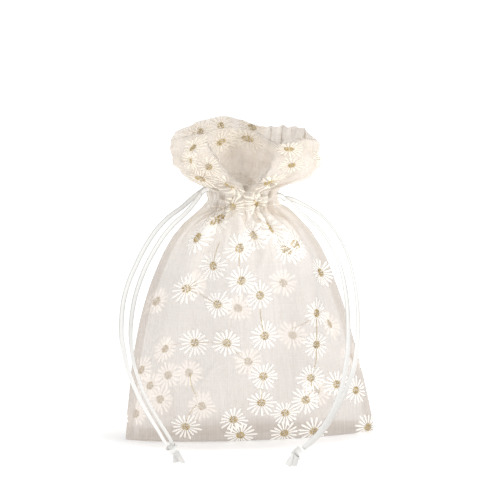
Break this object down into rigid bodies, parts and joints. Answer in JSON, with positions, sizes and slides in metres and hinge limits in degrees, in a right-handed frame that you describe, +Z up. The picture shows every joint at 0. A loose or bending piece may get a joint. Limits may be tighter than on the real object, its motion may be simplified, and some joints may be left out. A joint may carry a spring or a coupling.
{
  "type": "drawstring gift pouch",
  "caption": "Sheer fabric gift pouch with embroidered daisies, a casing gathered by ribbon drawstrings with knotted tails, and a frilled mouth; stands upright and holds small gifts.",
  "frame": {"origin": "middle of the base, on the surface that the pouch stands on", "axes": "+Z up, +X along the base from corner to corner, front faces -Y"},
  "size_m": [0.1005, 0.0644, 0.1225],
  "materials": {
    "organza": "sheer woven organza, off-white with a faint warm pink cast",
    "seam_cloth": "doubled organza at the seams",
    "satin_ribbon": "narrow ivory satin ribbon",
    "embroidery_thread": "ivory and gold satin-stitch thread"
  },
  "bodies": {
    "pouch": {"front_panel": "organza", "back_panel": "organza", "bottom_seam": "seam_cloth", "left_side_seam": "seam_cloth", "right_side_seam": "seam_cloth", "front_casing": "organza", "back_casing": "organza", "lower_stitching": "embroidery_thread", "upper_stitching": "embroidery_thread", "left_drawstring_loop": "satin_ribbon", "right_drawstring_loop": "satin_ribbon", "front_daisy_01": "embroidery_thread", "front_daisy_02": "embroidery_thread", "front_daisy_03": "embroidery_thread", "front_daisy_04": "embroidery_thread", "front_daisy_05": "embroidery_thread", "front_daisy_06": "embroidery_thread", "front_daisy_07": "embroidery_thread", "front_daisy_08": "embroidery_thread", "front_daisy_09": "embroidery_thread", "front_daisy_10": "embroidery_thread", "front_daisy_11": "embroidery_thread", "front_daisy_12": "embroidery_thread", "front_daisy_13": "embroidery_thread", "front_daisy_14": "embroidery_thread", "front_daisy_15": "embroidery_thread", "front_daisy_16": "embroidery_thread", "front_daisy_17": "embroidery_thread", "front_daisy_18": "embroidery_thread", "front_daisy_19": "embroidery_thread", "back_daisy_01": "embroidery_thread", "back_daisy_02": "embroidery_thread", "back_daisy_03": "embroidery_thread", "back_daisy_04": "embroidery_thread", "back_daisy_05": "embroidery_thread", "back_daisy_06": "embroidery_thread", "back_daisy_07": "embroidery_thread", "back_daisy_08": "embroidery_thread"},
    "frill": {"front_frill": "organza", "back_frill": "organza", "front_frill_facing": "organza", "back_frill_facing": "organza", "left_frill_seam": "seam_cloth", "right_frill_seam": "seam_cloth", "mouth_fold": "organza"},
    "left_drawstring": {"left_front_slit_ribbon": "satin_ribbon", "left_back_slit_ribbon": "satin_ribbon"},
    "left_tail_pair": {"left_front_tail": "satin_ribbon", "left_back_tail": "satin_ribbon", "left_knot": "satin_ribbon", "left_upper_cut_end": "satin_ribbon", "left_lower_cut_end": "satin_ribbon"},
    "right_drawstring": {"right_front_slit_ribbon": "satin_ribbon", "right_back_slit_ribbon": "satin_ribbon"},
    "right_tail_pair": {"right_front_tail": "satin_ribbon", "right_back_tail": "satin_ribbon", "right_knot": "satin_ribbon", "right_upper_cut_end": "satin_ribbon", "right_lower_cut_end": "satin_ribbon"}
  },
  "joints": [
    {"name": "frill_flop", "type": "hinge", "parent": "pouch", "child": "frill", "pos_m": [-0.0023, 0, 0.0998], "axis": [1, 0, 0], "range_deg": [-15, 15], "stiffness_Nm_per_rad": 0.002},
    {"name": "left_pull", "type": "slide", "parent": "pouch", "child": "left_drawstring", "axis": [-1, 0, 0], "range_m": [0, 0.006]},
    {"name": "left_tail_swing", "type": "hinge", "parent": "left_drawstring", "child": "left_tail_pair", "pos_m": [-0.0174, 0, 0.0965], "axis": [0, 1, 0], "range_deg": [0, 60]},
    {"name": "right_pull", "type": "slide", "parent": "pouch", "child": "right_drawstring", "axis": [1, 0, 0], "range_m": [0, 0.006]},
    {"name": "right_tail_swing", "type": "hinge", "parent": "right_drawstring", "child": "right_tail_pair", "pos_m": [0.0128, 0, 0.0933], "axis": [0, -1, 0], "range_deg": [0, 45]}
  ]
}
